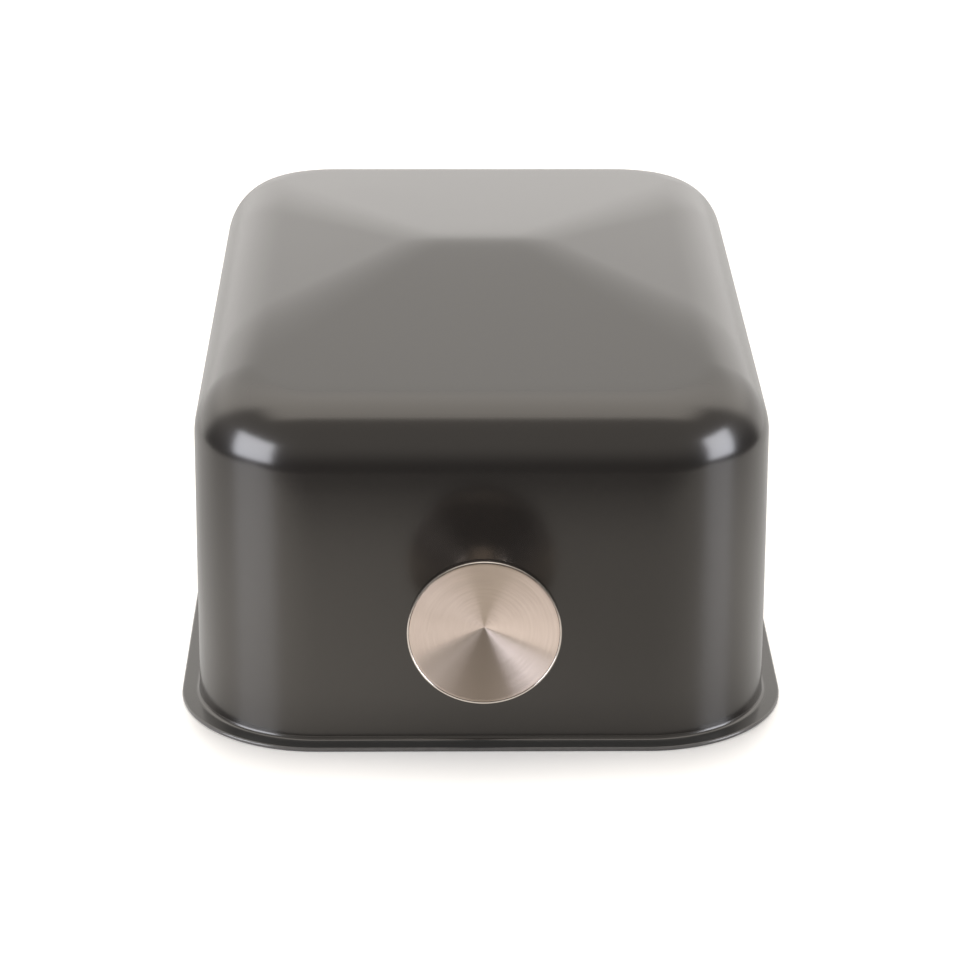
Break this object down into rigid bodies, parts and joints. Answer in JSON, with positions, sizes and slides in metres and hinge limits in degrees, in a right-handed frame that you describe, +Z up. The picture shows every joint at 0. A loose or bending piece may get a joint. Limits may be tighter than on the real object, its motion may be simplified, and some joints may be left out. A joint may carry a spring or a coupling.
{
  "type": "bread cloche",
  "caption": "Oblong pressed-metal bread cloche with rounded shoulders, a shallow hipped roof, a turned-out rim flange and a dished round knob on its end for lifting it off a baking loaf.",
  "frame": {"origin": "on the resting plane under the flange, at the middle of the overall width and length, knob included", "axes": "+Z up, +Y along the length from the knob end to the plain end, +X across the width; the knob faces -Y"},
  "size_m": [0.202, 0.3168, 0.1281],
  "materials": {
    "coated_shell": "satin dark grey-brown baking coat on pressed steel",
    "brushed_knob": "circular-brushed stainless steel with a polished rim",
    "hardware": "plain stainless steel"
  },
  "bodies": {
    "root": {"shell": "coated_shell", "knob_body": "brushed_knob", "knob_face": "brushed_knob", "knob_plug": "hardware", "knob_screw": "hardware", "lock_washer": "hardware", "flat_washer": "hardware"}
  },
  "joints": []
}
